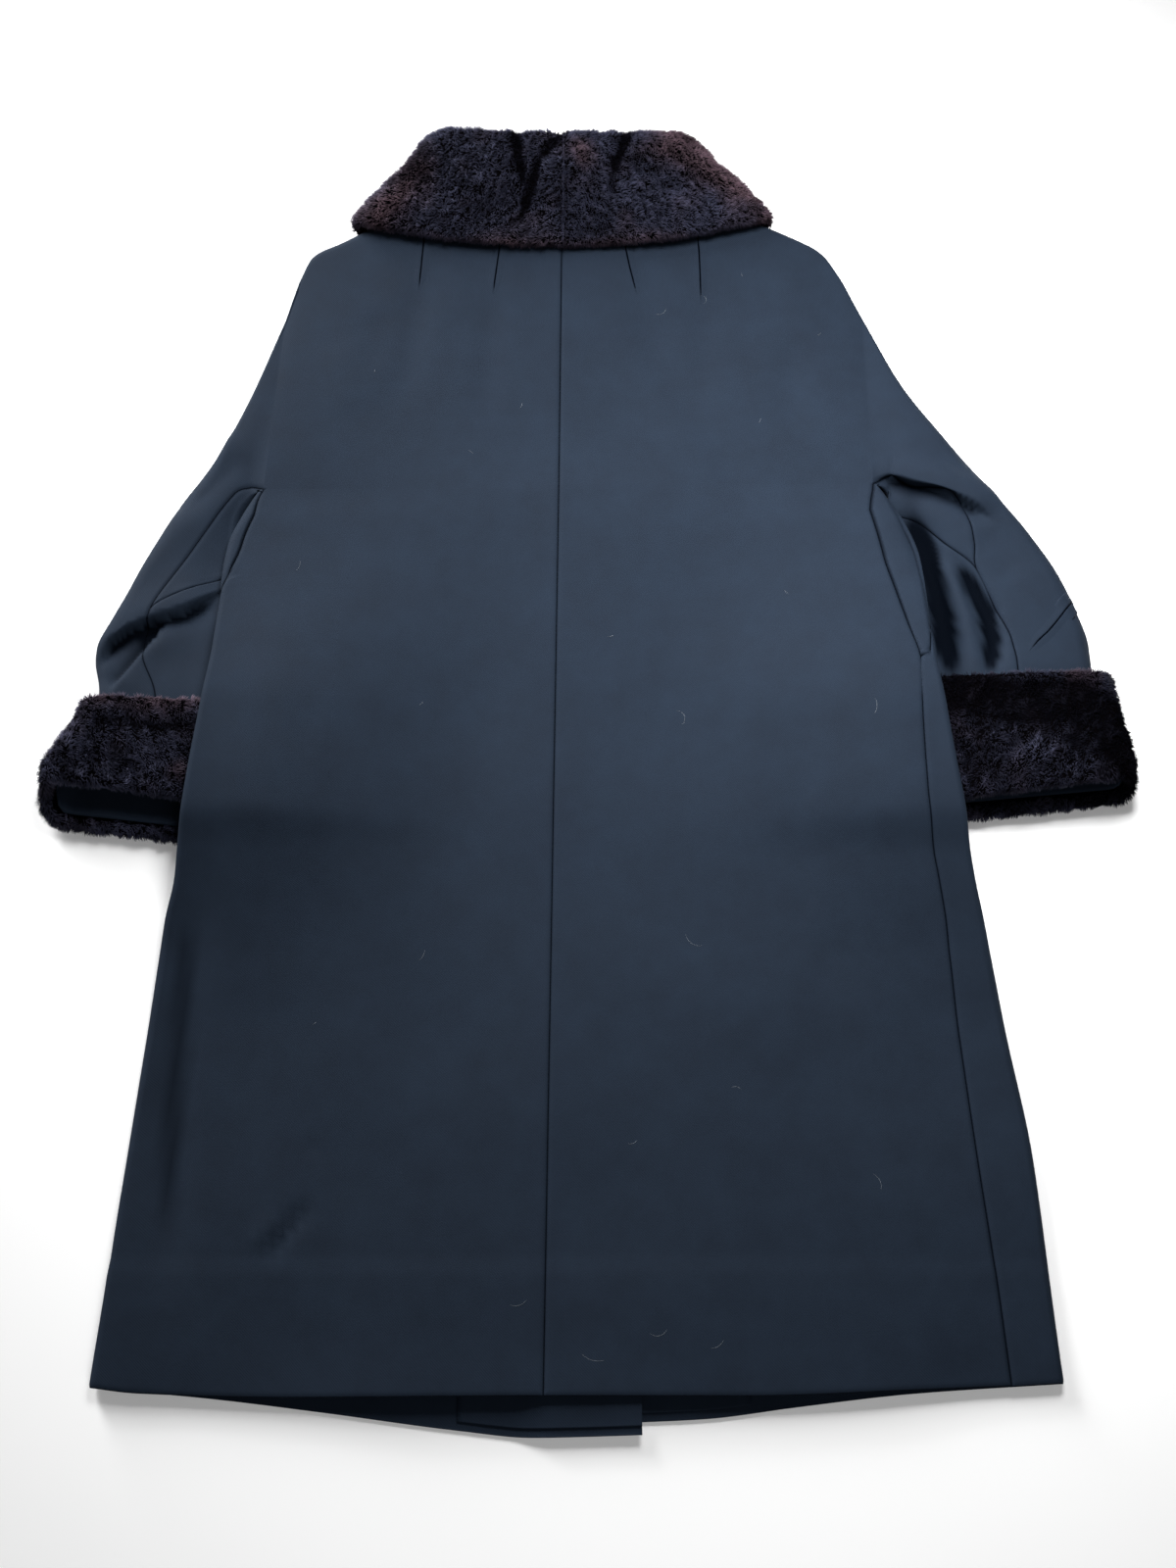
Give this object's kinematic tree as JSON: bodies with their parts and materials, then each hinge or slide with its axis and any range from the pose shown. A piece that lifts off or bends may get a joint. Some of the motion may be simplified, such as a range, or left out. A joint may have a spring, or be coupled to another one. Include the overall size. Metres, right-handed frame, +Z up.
{
  "type": "swing coat",
  "caption": "Navy wool swing coat laid face down, its fur collar falling over the back and its kimono sleeves with fur turn-back cuffs folded in beside the flared body.",
  "frame": {"origin": "middle of the coat's box, on the surface that it lies on", "axes": "+Z up from the surface to the coat's back, +Y from hem to collar, +X to the coat's right sleeve as seen from above its back"},
  "size_m": [0.906, 1.1434, 0.0628],
  "materials": {
    "wool": "Fine close navy wool gabardine, matt with a soft cool sheen on its folds",
    "fur": "Dense sheared fur, near black with a red-brown cast, short pile in small clumps"
  },
  "bodies": {
    "root": {"back_left": "wool", "back_right": "wool", "front_left": "wool", "front_right": "wool", "gusset_left": "wool", "gusset_right": "wool", "facing_left": "wool", "facing_right": "wool", "collar_left": "fur", "collar_right": "fur", "cuff_left": "fur", "cuff_right": "fur"}
  },
  "joints": []
}
